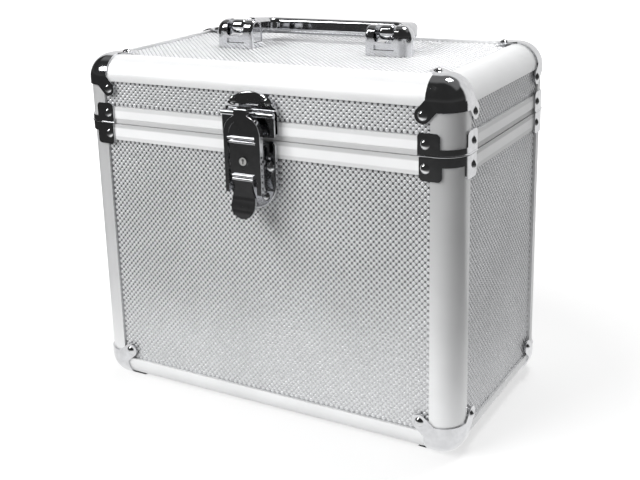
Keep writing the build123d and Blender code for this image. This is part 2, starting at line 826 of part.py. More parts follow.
def write_lever():
    # Latch lever: a plate with pivot flanges behind it, and a beaded tongue that curls outwards.
    half = lever_width / 2
    tip = lever_reach
    tip_back = lever_reach - lever_plate
    tongue_front = tongue_back + lever_plate
    tongue_top = lever_step + lever_plate
    knee = lever_end + tongue_curl
    straight = lever_end + 2 * lever_plate
    below = lever_end - lever_plate
    with BuildPart() as tongue:
        with BuildSketch(profile_plane(0)):
            with BuildLine():
                Line((tongue_back, tongue_top), (tongue_back, knee))
                Spline((tongue_back, knee), (tip_back, straight), tangents=[(0, -1), (0, -1)])
                Polyline((tip_back, straight), (tip_back, below), (tip, below), (tip, straight))
                Spline((tip, straight), (tongue_front, knee), tangents=[(0, 1), (0, 1)])
                Polyline((tongue_front, knee), (tongue_front, tongue_top), (tongue_back, tongue_top))
            make_face()
        extrude(amount=half, both=True)
        with BuildSketch(front_plane(0)):
            add(tongue_outline())
        extrude(amount=2 * lever_reach, mode=Mode.INTERSECT)
    with BuildPart() as lever:
        with BuildSketch(front_plane(lever_back)):
            with Locations((0, lever_step)):
                Rectangle(lever_width, lever_pivot[1] - lever_step, align=(Align.CENTER, Align.MIN))
        extrude(amount=lever_plate)
        cross_beads(lever_front, [lever_pivot[1] - bead_radius], lever_width)
        cross_beads(tongue_front, [lever_step + side * bead_spacing / 2 for side in (-1, 1)], tongue_root)
        add(tongue.part)
        for side in (-1, 1):
            with BuildSketch(profile_plane(side * (half - lever_flange / 2))) as flange:
                with Locations(lever_pivot):
                    Circle(lever_boss_radius)
                with Locations(hook_pivot):
                    Circle(hook_boss_radius)
                with Locations(
                    (lever_back, lever_pivot[1] - bead_radius), (lever_back, hook_pivot[1] - lever_boss_radius)
                ):
                    Circle(bead_radius)
                make_hull(flange.edges())
            extrude(amount=lever_flange / 2, both=True)
        cross_hole(lever_pivot, lever_pin_radius + running_clearance)
        cross_hole(hook_pivot, hook_pin_radius + running_clearance)
        with Locations(front_plane(lever_front) * Pos(0, lock_height, 0)):
            Cylinder(plug_radius + housing_wall, 4 * lever_plate, mode=Mode.SUBTRACT)
        dot_drop, dot_radius = lock_dot
        with Locations(front_plane(lever_front) * Pos(0, lock_height - dot_drop, 0)):
            Cylinder(dot_radius, lever_plate, mode=Mode.SUBTRACT)
    save(lever, "latch_lever")

    with BuildPart() as housing:
        with BuildSketch(front_plane(housing_back)):
            with Locations((0, lock_height)):
                Circle(plug_radius + housing_wall)
                Circle(plug_radius + running_clearance, mode=Mode.SUBTRACT)
        extrude(amount=lever_front + housing_rise - housing_back)
    save(housing, "lock_housing")

    with BuildPart() as plug:
        with BuildSketch(front_plane(plug_back)):
            with Locations((0, lock_height)):
                Circle(plug_radius)
        extrude(amount=plug_reach - plug_back)
        with BuildSketch(front_plane(plug_reach)):
            with Locations((0, lock_height)):
                Rectangle(keyway[0], keyway[1])
                with Locations((0, keyway[1] / 4)):
                    Circle(keyway[0])
        extrude(amount=-keyway_depth, mode=Mode.SUBTRACT)
        with BuildSketch(front_plane(cam_back)) as cam:
            with Locations((0, lock_height), (cam_length - cam_width / 2, lock_height)):
                Circle(cam_width / 2)
            make_hull(cam.edges())
        extrude(amount=cam_plate)
    save(plug, "lock_plug")


def stadium(radius):
    # An arch of the hook plate's family: round above the arch height, straight down to its ends.
    with BuildSketch() as shape:
        with Locations((0, hook_arch_height)):
            Circle(radius)
        with Locations((0, hook_bottom)):
            Rectangle(2 * radius, hook_arch_height - hook_bottom, align=(Align.CENTER, Align.MIN))
    return shape.sketch


def write_hook():
    # Hook plate: an arched frame round the lever, with side walls on its pivots and a claw at the top.
    outer = hook_width / 2
    recess_bottom = hook_window_top + hook_recess_lift
    wall_top = parting_height - hook_upper_wall_drop
    with BuildPart() as hook:
        with BuildSketch(front_plane(hook_back)):
            add(stadium(outer))
            with Locations((0, hook_window_top)):
                Rectangle(2 * hook_window, case_height, align=(Align.CENTER, Align.MAX), mode=Mode.SUBTRACT)
        extrude(amount=hook_plate)
        with BuildSketch(front_plane(hook_upper_wall_back)):
            add(stadium(outer))
            add(stadium(outer - hook_wall), mode=Mode.SUBTRACT)
        extrude(amount=hook_back - hook_upper_wall_back)
        with BuildSketch(front_plane(hook_wall_back)):
            for side in (-1, 1):
                with Locations((side * outer, hook_bottom)):
                    Rectangle(
                        hook_wall,
                        wall_top - hook_bottom,
                        align=(Align.MAX if side > 0 else Align.MIN, Align.MIN),
                    )
        extrude(amount=hook_back - hook_wall_back)
        rim_edges = hook.faces().sort_by(Axis.Y)[0].outer_wire().edges()
        arch_edges = rim_edges.filter_by(
            lambda edge: abs(edge.center().X) > (outer + hook_window) / 2 or edge.center().Z > hook_arch_height
        )
        fillet(arch_edges, hook_edge)
        with BuildSketch(front_plane(hook_front)):
            add(stadium(hook_window - hook_edge))
            with Locations((0, recess_bottom)):
                Rectangle(4 * outer, case_height, align=(Align.CENTER, Align.MAX), mode=Mode.SUBTRACT)
        extrude(amount=-hook_recess_depth, mode=Mode.SUBTRACT)
        cross_beads(hook_front - hook_edge / 2, [hook_window_top + bead_radius], 2 * hook_window - hook_edge)
        with BuildSketch(profile_plane(0)):
            with BuildLine():
                claw_top = claw_bottom + claw_plate
                claw_root = claw_bottom - claw_plate
                Polyline(
                    (claw_reach, claw_bottom), (claw_reach, claw_top), (hook_front, claw_top),
                    (hook_front, claw_root), (hook_back, claw_root), (hook_back, claw_bottom), close=True,
                )
            make_face()
        extrude(amount=claw_width / 2, both=True)
        claw_face = hook.faces().filter_by(Axis.Z).sort_by(Axis.Z)[-1]
        fillet(claw_face.edges(), claw_edge)
        cross_hole(hook_pivot, hook_pin_radius)
    save(hook, "latch_hook")

    pin_inner = lever_width / 2 - lever_flange - ear_root
    with BuildPart() as hook_pins:
        for side in (-1, 1):
            with BuildSketch(Plane.YZ.offset(side * pin_inner)):
                with Locations((front_y - hook_pivot[0], hook_pivot[1])):
                    Circle(hook_pin_radius)
            extrude(amount=side * (outer + hook_edge - pin_inner))
    save(hook_pins, "latch_hook_pins")


def write_strike():
    # Strike plate on the lid: an arched dome over an upward-open lip, whose roll the claw drops over.
    half = strike_width / 2
    panel_face = -flange_thickness
    pocket_floor = strike_bottom + strike_plate
    lip_inner = strike_front - strike_wall
    slope_start, slope_rise = strike_slope
    slope_low = strike_shoulder + slope_start
    slope_high = slope_low + slope_rise
    with BuildPart() as strike:
        with BuildSketch(profile_plane(0)):
            with BuildLine():
                Polyline(
                    (0, strike_bottom), (strike_front, strike_bottom), (strike_front, roll_height),
                    (lip_inner, roll_height), (lip_inner, pocket_floor), (strike_plate, pocket_floor),
                    (strike_plate, slope_low), (strike_dome_reach, slope_high),
                    (strike_dome_reach, strike_top), (0, strike_top), (0, rail_bottom - side_clearance),
                    (panel_face, rail_bottom - side_clearance), (panel_face, rim_top + side_clearance),
                    (0, rim_top + side_clearance), close=True,
                )
            make_face()
            with Locations((strike_front, roll_height)):
                Circle(roll_radius)
        extrude(amount=half, both=True)
        with BuildSketch(front_plane(-2 * flange_thickness)):
            with BuildLine():
                Line((-half, strike_shoulder), (-half, strike_bottom))
                Line((-half, strike_bottom), (half, strike_bottom))
                Line((half, strike_bottom), (half, strike_shoulder))
                ThreePointArc((half, strike_shoulder), (0, strike_top), (-half, strike_shoulder))
            make_face()
        extrude(amount=4 * strike_front, mode=Mode.INTERSECT)
        dome_edges = strike.edges().filter_by(GeomType.CIRCLE).filter_by(
            lambda edge: abs(edge.center().Y - front_y + strike_dome_reach) < base_edge
            and edge.center().Z > slope_high
        )
        fillet(dome_edges, strike_dome_edge)
        for point in strike_rivet_points():
            with Locations(point * Pos(0, 0, strike_spot_reach)):
                Cylinder(
                    rivet_head_radius + side_clearance, strike_front,
                    align=(Align.CENTER, Align.CENTER, Align.MIN), mode=Mode.SUBTRACT,
                )
        drill(strike_rivet_points(), rivet_shank_radius)
    save(strike, "strike_plate")


def write_handle():
    # Handle brackets on the lid, the folding bail with its knuckles, and the pivot pins.
    base_height = case_height - panel_outset
    radius = bracket_half_depth
    shoulder = bracket_top - radius
    for side, name in ((-1, "left"), (1, "right")):
        with BuildPart() as bracket:
            span = bracket_dome_start - bracket_inner
            centre = side * (bracket_inner + span / 2)
            with Locations((centre, middle_y, base_height)):
                Box(
                    span, 2 * radius, shoulder - base_height, align=(Align.CENTER, Align.CENTER, Align.MIN)
                )
            with Locations(Location((centre, middle_y, shoulder), (0, 90, 0))):
                Cylinder(radius, span)
            cheek_edges = bracket.faces().sort_by_distance((0, middle_y, shoulder))[0].edges()
            fillet(cheek_edges.filter_by(lambda edge: edge.center().Z > base_height), bracket_edge)
            with Locations((side * bracket_dome_start, middle_y, base_height)):
                Cylinder(radius, shoulder - base_height, align=(Align.CENTER, Align.CENTER, Align.MIN))
            with Locations((side * bracket_dome_start, middle_y, shoulder)):
                Sphere(radius)
            notch_centre = side * notch_middle
            with BuildSketch(Plane.XZ.offset(-middle_y)) as notch:
                with Locations((notch_centre, notch_bottom)):
                    Rectangle(2 * notch_half, radius + handle_pivot_cover, align=(Align.CENTER, Align.MIN))
                fillet(notch.vertices().group_by(Axis.Y)[0], notch_corner)
            extrude(amount=2 * radius, both=True, mode=Mode.SUBTRACT)
            frame_low = case_height + bracket_frame
            frame_height = notch_bottom - knuckle_under_gap - frame_low
            for face_sign in (-1, 1):
                with BuildSketch(Plane.XZ.offset(-middle_y + face_sign * radius)):
                    with Locations((notch_centre, frame_low)):
                        Rectangle(2 * notch_half, frame_height, align=(Align.CENTER, Align.MIN))
                extrude(amount=-face_sign * bracket_recess, mode=Mode.SUBTRACT)
            cheek_outline = radius - bracket_frame
            with BuildSketch(Plane.YZ.offset(side * bracket_inner)):
                with Locations((middle_y, shoulder)):
                    Circle(cheek_outline)
                with Locations((middle_y, frame_low)):
                    Rectangle(2 * cheek_outline, shoulder - frame_low, align=(Align.CENTER, Align.MIN))
            extrude(amount=side * cheek_recess, mode=Mode.SUBTRACT)
            pin_span = notch_half + bracket_cheek / 2
            with Locations(Location((notch_centre, middle_y, handle_pivot_height), (0, 90, 0))):
                Cylinder(handle_pin_radius, 2 * pin_span, mode=Mode.SUBTRACT)
            with Locations(*[(x, y, base_height) for x, y in handle_screw_places()]):
                Cylinder(
                    handle_screw_radius, handle_screw_grip, align=(Align.CENTER, Align.CENTER, Align.MIN),
                    mode=Mode.SUBTRACT,
                )
        save(bracket, f"handle_bracket_{name}")

    with BuildPart() as pins:
        for side in (-1, 1):
            pin_centre = Location((side * notch_middle, middle_y, handle_pivot_height), (0, 90, 0))
            with Locations(pin_centre):
                Cylinder(handle_pin_radius, 2 * notch_half + bracket_cheek)
    save(pins, "handle_pins")

    tilt = Plane(
        origin=(0, middle_y, handle_pivot_height),
        x_dir=(1, 0, 0),
        z_dir=(0, handle_drop, handle_reach),
    )
    arm_half = handle_arm_width / 2
    reach = (handle_reach**2 + handle_drop**2) ** 0.5
    with BuildPart() as knuckle:
        Cylinder(handle_knuckle_radius, handle_knuckle_width)
        fillet(knuckle.edges().filter_by(GeomType.CIRCLE), knuckle_edge)
    with BuildPart() as bail:
        with BuildSketch(tilt.offset(-handle_bar_height / 2)):
            with BuildLine():
                outer = notch_middle + arm_half
                inner = notch_middle - arm_half
                far = reach + handle_bar_thickness / 2
                near = reach - handle_bar_thickness / 2
                Polyline(
                    (-outer, 0), (-outer, far), (outer, far), (outer, 0), (inner, 0),
                    (inner, near), (-inner, near), (-inner, 0), close=True,
                )
            make_face()
        extrude(amount=handle_bar_height)
        long_edges = bail.edges().filter_by(Axis(tilt.origin, tilt.z_dir))
        far_edges = long_edges.sort_by_distance(tilt.from_local_coords(Vector(outer, far, 0)))
        outer_corners = [
            far_edges[0],
            long_edges.sort_by_distance(tilt.from_local_coords(Vector(-outer, far, 0)))[0],
        ]
        inner_corners = [
            long_edges.sort_by_distance(tilt.from_local_coords(Vector(inner, near, 0)))[0],
            long_edges.sort_by_distance(tilt.from_local_coords(Vector(-inner, near, 0)))[0],
        ]
        fillet(outer_corners, handle_corner)
        fillet(inner_corners, handle_inner_corner)
        rim_faces = bail.faces().filter_by(Axis(tilt.origin, tilt.z_dir))
        fillet(rim_faces.edges(), handle_bar_edge)
        neck_length = bracket_half_depth + handle_neck_reach
        for side in (-1, 1):
            for face_sign in (-1, 1):
                with BuildSketch(tilt.offset(face_sign * handle_neck_height / 2)):
                    with Locations((side * notch_middle, 0)):
                        Rectangle(2 * handle_arm_width, 2 * neck_length)
                extrude(amount=face_sign * handle_bar_height, mode=Mode.SUBTRACT)
        with Locations(*[
            Location((side * notch_middle, middle_y, handle_pivot_height), (0, 90, 0))
            for side in (-1, 1)
        ]):
            add(knuckle.part)
        with Locations(Location((0, middle_y, handle_pivot_height), (0, 90, 0))):
            Cylinder(
                handle_pin_radius + running_clearance, case_width, mode=Mode.SUBTRACT
            )
    save(bail, "handle_bail")

    head_radius, head_height = handle_screw_head
    screw_top = base_height + handle_screw_grip
    under = base_height - panel_thickness
    with BuildPart() as screws:
        for x_place, y_place in handle_screw_places():
            with Locations((x_place, y_place, under)):
                Cylinder(
                    handle_screw_radius, screw_top - under, align=(Align.CENTER, Align.CENTER, Align.MIN)
                )
                Cylinder(head_radius, head_height, align=(Align.CENTER, Align.CENTER, Align.MAX))
    save(screws, "handle_screws")


def write_hinges():
    # Two rear butt hinges: leaves on the rims, knuckles shared round one pin each.
    third = (hinge_width - 2 * hinge_segment_gap) / 3
    spans = [(-hinge_width / 2, third, -1), (-third / 2, third, 1), (hinge_width / 2 - third, third, -1)]
    clear = hinge_knuckle_radius + side_clearance
    for owner, name in ((-1, "hinge_body_leaves"), (1, "hinge_lid_leaves")):
        with BuildPart() as leaves:
            for hinge in (-1, 1):
                centre = hinge * hinge_spacing / 2
                with BuildSketch(back_plane(0)):
                    with Locations((-centre, parting_height + owner * (hinge_leaf_height / 2 + 0.8))):
                        RectangleRounded(hinge_width, hinge_leaf_height, 1.6)
                    for start, length, knuckle_owner in spans:
                        middle = -(centre + start + length / 2)
                        if knuckle_owner == owner:
                            with Locations((middle, parting_height)):
                                Rectangle(
                                    length, 4.0, align=(Align.CENTER, Align.MIN if owner > 0 else Align.MAX)
                                )
                        else:
                            with Locations((middle, parting_height)):
                                Rectangle(length + 2 * hinge_segment_gap, 2 * clear, mode=Mode.SUBTRACT)
                extrude(amount=hinge_leaf)
                for start, length, knuckle_owner in spans:
                    if knuckle_owner == owner:
                        with BuildSketch(Plane.YZ.offset(centre + start)):
                            with Locations((hinge_y, parting_height)):
                                Circle(hinge_knuckle_radius)
                        extrude(amount=length)
            bore = hinge_pin_radius + (running_clearance if owner > 0 else 0)
            with Locations(Location((0, hinge_y, parting_height), (0, 90, 0))):
                Cylinder(bore, case_width, mode=Mode.SUBTRACT)
            drill(hinge_rivet_points(owner), rivet_shank_radius)
        save(leaves, name)
    with BuildPart() as pins:
        for hinge in (-1, 1):
            with Locations(Location((hinge * hinge_spacing / 2, hinge_y, parting_height), (0, 90, 0))):
                Cylinder(hinge_pin_radius, hinge_width)
    save(pins, "hinge_pins")


def write_foam():
    # Foam lining: base pad, front and back strips, dividers between the drive slots, and the lid pad.
    floor_height = case_bottom + shell_depth
    pad_top = floor_height + foam_base_height
    with BuildPart() as foam_base:
        with Locations((0, middle_y, floor_height)):
            Box(foam_width, foam_depth, foam_base_height, align=(Align.CENTER, Align.CENTER, Align.MIN))
    save(foam_base, "foam_base_pad")
    for side, name in ((-1, "front"), (1, "back")):
        with BuildPart() as foam_strip:
            with Locations((0, middle_y + side * (slot_depth + foam_strip_width) / 2, pad_top)):
                Box(foam_width, foam_strip_width, foam_top - pad_top, align=(Align.CENTER, Align.CENTER, Align.MIN))
        save(foam_strip, f"foam_{name}_strip")
    pitch = slot_width + divider_width
    slots_width = foam_width - 2 * end_pad_width
    with BuildPart() as dividers:
        for gap in range(1, drive_slots):
            x_place = -slots_width / 2 + gap * pitch - divider_width / 2
            with Locations((x_place, middle_y, pad_top)):
                Box(
                    divider_width, slot_depth, foam_top - pad_top,
                    align=(Align.CENTER, Align.CENTER, Align.MIN),
                )
        for side in (-1, 1):
            with Locations((side * (slots_width + end_pad_width) / 2, middle_y, pad_top)):
                Box(
                    end_pad_width, slot_depth, foam_top - pad_top,
                    align=(Align.CENTER, Align.CENTER, Align.MIN),
                )
    save(dividers, "foam_dividers")
    lid_foam_top = case_height - shell_depth
    pocket_depth = handle_screw_head[1] + screw_pocket_clearance - inner_flange
    with BuildPart() as lid_foam:
        with Locations((0, middle_y, lid_foam_bottom)):
            Box(
                foam_width, foam_depth, lid_foam_top - lid_foam_bottom,
                align=(Align.CENTER, Align.CENTER, Align.MIN),
            )
        with Locations(*[(x, y, lid_foam_top) for x, y in handle_screw_places()]):
            Cylinder(
                handle_screw_head[0] + screw_pocket_clearance,
                2 * pocket_depth,
                mode=Mode.SUBTRACT,
            )
    save(lid_foam, "lid_foam_pad")
    print("drive slot starts:", [round(-slots_width / 2 + gap * pitch, 2) for gap in range(drive_slots)])
    print("foam floor and top:", pad_top, foam_top, "slot depth", slot_depth)


write_panels()
write_columns()
write_rails()
write_rims()
write_caps()
write_corner_plates()
write_latch_base()
write_lever()
write_hook()
write_strike()
write_handle()
write_hinges()
write_foam()
leaf_grip = hinge_leaf + shell_depth
place_rivets(
    [
        (cap_points("bottom"), cap_thickness, panel_grip),
        (plate_points("bottom"), cap_thickness, rim_grip),
        (base_rivet_points(), latch_base_plate, latch_base_plate + flange_thickness + panel_thickness),
        (hinge_rivet_points(-1), hinge_leaf, leaf_grip),
    ],
    "body_rivets",
)
place_rivets(
    [
        (cap_points("top"), cap_thickness, panel_grip),
        (plate_points("top"), cap_thickness, rim_grip),
        (strike_rivet_points(), strike_spot_reach, strike_spot_reach + flange_thickness + panel_thickness),
        (hinge_rivet_points(1), hinge_leaf, leaf_grip),
    ],
    "lid_rivets",
)
print("front", front_y, "back", back_y, "middle", middle_y, "hinge", hinge_y)
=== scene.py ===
import math
import bpy
from mathutils import Matrix, Vector


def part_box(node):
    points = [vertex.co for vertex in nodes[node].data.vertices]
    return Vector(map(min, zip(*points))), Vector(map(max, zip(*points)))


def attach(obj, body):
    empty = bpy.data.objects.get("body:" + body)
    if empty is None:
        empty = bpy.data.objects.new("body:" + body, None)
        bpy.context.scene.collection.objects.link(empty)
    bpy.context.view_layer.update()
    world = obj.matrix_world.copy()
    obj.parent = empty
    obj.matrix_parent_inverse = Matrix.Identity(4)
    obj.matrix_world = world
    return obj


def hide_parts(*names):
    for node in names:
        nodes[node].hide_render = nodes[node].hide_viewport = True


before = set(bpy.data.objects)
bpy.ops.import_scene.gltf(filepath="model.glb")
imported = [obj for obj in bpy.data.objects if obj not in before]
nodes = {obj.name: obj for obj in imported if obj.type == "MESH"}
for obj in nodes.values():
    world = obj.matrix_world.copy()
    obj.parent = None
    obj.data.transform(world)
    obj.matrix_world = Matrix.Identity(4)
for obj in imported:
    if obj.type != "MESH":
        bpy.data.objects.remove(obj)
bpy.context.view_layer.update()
scene = bpy.context.scene
scene.view_settings.view_transform = "Standard"
mm = 0.001
print("frame loaded:", len(nodes), "nodes")


def clearSelection():
    if bpy.context.mode != "OBJECT":
        bpy.ops.object.mode_set(mode="OBJECT")
    bpy.ops.object.select_all(action="DESELECT")


def pickOnly(obj):
    clearSelection()
    obj.select_set(True)
    bpy.context.view_layer.objects.active = obj


def applyPlace(obj):
    # the place goes into the mesh, so that the object sits at the origin
    pickOnly(obj)
    bpy.ops.object.transform_apply(location=True, rotation=True, scale=True)


def applyModifier(obj, kind, **values):
    pickOnly(obj)
    modifier = obj.modifiers.new(kind.lower(), kind)
    for key, value in values.items():
        setattr(modifier, key, value)
    bpy.ops.object.modifier_apply(modifier=modifier.name)


def copyOf(obj, name):
    twin = obj.copy()
    twin.data = obj.data.copy()
    twin.name = name
    bpy.context.collection.objects.link(twin)
    return twin


def joinAll(parts, name):
    clearSelection()
    for part in parts:
        part.select_set(True)
    bpy.context.view_layer.objects.active = parts[0]
    bpy.ops.object.join()
    joined = bpy.context.view_layer.objects.active
    joined.name = name
    return joined


def setMaterial(obj, material):
    if obj.data.materials:
        for index in range(len(obj.data.materials)):
            obj.data.materials[index] = material
    else:
        obj.data.materials.append(material)


def newMaterial(name):
    material = bpy.data.materials.new(name)
    material.use_nodes = True
    tree = material.node_tree
    shader = tree.nodes["Principled BSDF"]
    coords = tree.nodes.new("ShaderNodeTexCoord")
    return material, tree, shader, coords


def addMapping(tree, source, scale):
    mapping = tree.nodes.new("ShaderNodeMapping")
    mapping.inputs["Scale"].default_value = scale
    tree.links.new(source, mapping.inputs["Vector"])
    return mapping.outputs["Vector"]


def addNoise(tree, vector, scale, detail=3.0):
    noise = tree.nodes.new("ShaderNodeTexNoise")
    noise.inputs["Scale"].default_value = scale
    noise.inputs["Detail"].default_value = detail
    tree.links.new(vector, noise.inputs["Vector"])
    return noise.outputs["Fac"]


def addRamp(tree, factor, stops):
    ramp = tree.nodes.new("ShaderNodeValToRGB")
    while len(ramp.color_ramp.elements) < len(stops):
        ramp.color_ramp.elements.new(0.5)
    for element, (place, colour) in zip(ramp.color_ramp.elements, stops):
        element.position = place
        element.color = (*colour, 1)
    tree.links.new(factor, ramp.inputs["Fac"])
    return ramp.outputs["Color"]


def addTint(tree, factor, look):
    # the look's colour, from a little duller to a little paler
    tints = [tuple(min(1, c * tint) for c in look["colour"]) for tint in look["tint"]]
    return addRamp(tree, factor, list(zip(look["tintSpan"], tints)))


def addLevels(tree, factor, stops):
    return addRamp(tree, factor, [(place, (level,) * 3) for place, level in stops])


def addRange(tree, factor, low, high):
    spread = tree.nodes.new("ShaderNodeMapRange")
    spread.inputs["To Min"].default_value = low
    spread.inputs["To Max"].default_value = high
    tree.links.new(factor, spread.inputs["Value"])
    return spread.outputs["Result"]


def addBump(tree, shader, height, strength, distance):
    bump = tree.nodes.new("ShaderNodeBump")
    bump.inputs["Strength"].default_value = strength
    bump.inputs["Distance"].default_value = distance
    tree.links.new(height, bump.inputs["Height"])
    tree.links.new(bump.outputs["Normal"], shader.inputs["Normal"])


def addStep(tree, factor, low, high, atLow=0.0, atHigh=1.0):
    step = tree.nodes.new("ShaderNodeMapRange")
    step.interpolation_type = "SMOOTHSTEP"
    step.inputs["From Min"].default_value = low
    step.inputs["From Max"].default_value = high
    step.inputs["To Min"].default_value = atLow
    step.inputs["To Max"].default_value = atHigh
    tree.links.new(factor, step.inputs["Value"])
    return step.outputs["Result"]


def addMath(tree, operation, *values):
    mathNode = tree.nodes.new("ShaderNodeMath")
    mathNode.operation = operation
    for socket, value in zip(mathNode.inputs, values):
        if isinstance(value, (int, float)):
            socket.default_value = value
        else:
            tree.links.new(value, socket)
    return mathNode.outputs["Value"]


def addSplit(tree, vector):
    split = tree.nodes.new("ShaderNodeSeparateXYZ")
    tree.links.new(vector, split.inputs["Vector"])
    return split.outputs


sheetLook = {
    "patches": 18,
    "grain": 900,
    "pits": 2600,
    "pitStrength": 0.12,
    "pitDepth": 0.2 * mm,
}
# painted shade: the sheet between the dots is a darker copy of the dotted sheet
shadedGroundLook = {
    "colour": (0.52, 0.525, 0.535),
    "tint": (0.94, 1.05),
    "tintSpan": (0.3, 0.7),
    "metal": 0.90,
    "gloss": (0.20, 0.30),
}
dotLook = {
    "colour": (0.735, 0.74, 0.755),
    "tint": (0.94, 1.05),
    "tintSpan": (0.3, 0.7),
    "metal": 0.50,
    "gloss": (0.28, 0.40),
}


def makeSheetMetal(name, look):
    # pressed sheet: soft patches of tone, and fine grain in the gloss
    material, tree, shader, coords = newMaterial(name)
    place = coords.outputs["Object"]
    patches = addNoise(tree, place, sheetLook["patches"], detail=4)
    grain = addNoise(tree, place, sheetLook["grain"], detail=2)
    pits = addNoise(tree, place, sheetLook["pits"], detail=2)
    tree.links.new(addTint(tree, patches, look), shader.inputs["Base Color"])
    tree.links.new(addRange(tree, grain, *look["gloss"]), shader.inputs["Roughness"])
    addBump(tree, shader, pits, sheetLook["pitStrength"], sheetLook["pitDepth"])
    shader.inputs["Metallic"].default_value = look["metal"]
    return material


railLook = {
    "colour": (0.83, 0.835, 0.84),
    "tint": (0.95, 1.04),
    "tintSpan": (0.3, 0.7),
    "gloss": (0.30, 0.42),
    "clouds": 26,
    "lines": 4200,
    "lineStretch": 0.012,
    "lineStrength": 0.10,
    "lineDepth": 0.1 * mm,
    "metal": {"rim": 0.22, "rail": 0.42, "column": 0.50},
    # painted shade on the columns, darker towards the top so they look brighter at the foot: tone by the
    # height, in case heights
    "rise": [(0.30, 1.0), (0.45, 0.97), (0.60, 0.88), (0.75, 0.80)],
    # painted shade on the rims, where their grooves near the parting line and their far edge would be
    # shaded: tone by the distance from the parting line, in rim heights
    "grooves": [(0.0, 0.62), (0.22, 0.66), (0.30, 1.0), (0.72, 1.0), (0.80, 0.80)],
}


def addPaintedShade(tree, colour, share, stops):
    # paints shade: darkens the colour by levels that follow a share of some length
    mix = tree.nodes.new("ShaderNodeMix")
    mix.data_type = "RGBA"
    mix.blend_type = "MULTIPLY"
    mix.inputs["Factor"].default_value = 1.0
    tree.links.new(colour, mix.inputs["A"])
    tree.links.new(addLevels(tree, share, stops), mix.inputs["B"])
    return mix.outputs["Result"]


def makeDrawnMetal(kind, axis):
    # satin extrusion with fine lines drawn along one axis, and painted shade on rims and columns
    material, tree, shader, coords = newMaterial(f"{kind}DrawnAlong{'XYZ'[axis]}")
    place = coords.outputs["Object"]
    scale = [1.0, 1.0, 1.0]
    scale[axis] = railLook["lineStretch"]
    lines = addNoise(tree, addMapping(tree, place, scale), railLook["lines"], detail=2)
    colour = addTint(tree, addNoise(tree, place, railLook["clouds"]), railLook)
    height = addSplit(tree, place)["Z"]
    if kind == "rim":
        # painted shade in the rim's grooves, by the distance from the parting line
        low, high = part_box("lid_rim_front")
        away = addMath(tree, "ABSOLUTE", addMath(tree, "SUBTRACT", height, low.z))
        share = addMath(tree, "DIVIDE", away, high.z - low.z)
        colour = addPaintedShade(tree, colour, share, railLook["grooves"])
    elif kind == "column":
        # painted shade on the column, darker towards the top
        share = addMath(tree, "DIVIDE", height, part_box("lid_top_panel")[1].z)
        colour = addPaintedShade(tree, colour, share, railLook["rise"])
    tree.links.new(colour, shader.inputs["Base Color"])
    tree.links.new(addRange(tree, lines, *railLook["gloss"]), shader.inputs["Roughness"])
    addBump(tree, shader, lines, railLook["lineStrength"], railLook["lineDepth"])
    shader.inputs["Metallic"].default_value = railLook["metal"][kind]
    return material


plating = {
    "smear": 240,
    "ripples": 130,
    "rippleDepth": 0.6 * mm,
    "tint": (0.95, 1.05),
    "tintSpan": (0.35, 0.65),
}
platedLooks = {
    "brightChrome": {"colour": (0.72, 0.725, 0.74), "gloss": (0.05, 0.12), "ripple": 0.10, "metal": 1.0},
    "rivetChrome": {"colour": (0.74, 0.745, 0.755), "gloss": (0.06, 0.13), "ripple": 0.05, "metal": 1.0},
    "pinSteel": {"colour": (0.50, 0.51, 0.53), "gloss": (0.22, 0.34), "ripple": 0.05, "metal": 1.0},
    "lockNickel": {"colour": (0.50, 0.50, 0.49), "gloss": (0.24, 0.36), "ripple": 0.05, "metal": 0.45},
}


def makePlated(name):
    # smooth plating: a faint smear in tone and gloss, and slow ripples
    look = {**plating, **platedLooks[name]}
    material, tree, shader, coords = newMaterial(name)
    place = coords.outputs["Object"]
    smear = addNoise(tree, place, look["smear"], detail=4)
    ripples = addNoise(tree, place, look["ripples"], detail=2)
    tree.links.new(addTint(tree, smear, look), shader.inputs["Base Color"])
    tree.links.new(addRange(tree, smear, *look["gloss"]), shader.inputs["Roughness"])
    addBump(tree, shader, ripples, look["ripple"], look["rippleDepth"])
    shader.inputs["Metallic"].default_value = look["metal"]
    return material


foamLook = {
    "colour": (0.022, 0.022, 0.024),
    "tint": (1.0, 2.2),
    "tintSpan": (0.1, 0.8),
    "cells": 900,
    "cellStrength": 0.5,
    "cellDepth": 0.5 * mm,
    "grain": 60,
    "gloss": (0.85, 0.98),
    "specular": 0.25,
    "sheen": 0.15,
}


def makeFoam():
    material, tree, shader, coords = newMaterial("softFoam")
    place = coords.outputs["Object"]
    cells = tree.nodes.new("ShaderNodeTexVoronoi")
    cells.inputs["Scale"].default_value = foamLook["cells"]
    tree.links.new(place, cells.inputs["Vector"])
    grain = addNoise(tree, place, foamLook["grain"])
    tree.links.new(addTint(tree, cells.outputs["Distance"], foamLook), shader.inputs["Base Color"])
    tree.links.new(addRange(tree, grain, *foamLook["gloss"]), shader.inputs["Roughness"])
    addBump(tree, shader, cells.outputs["Distance"], foamLook["cellStrength"], foamLook["cellDepth"])
    shader.inputs["Specular IOR Level"].default_value = foamLook["specular"]
    shader.inputs["Sheen Weight"].default_value = foamLook["sheen"]
    return material


# the panels between the dots carry painted shade, the dots the sheet's lighter colour
shadedGroundMetal = makeSheetMetal("sheetGroundPaintedShade", shadedGroundLook)
dotMetal = makeSheetMetal("sheetDots", dotLook)
columnMetal = makeDrawnMetal("column", 2)
edgeMetal = {(kind, axis): makeDrawnMetal(kind, axis) for kind in ("rim", "rail") for axis in (0, 1)}
chrome, rivetChrome, pinSteel, lockNickel = (makePlated(name) for name in platedLooks)
softFoam = makeFoam()

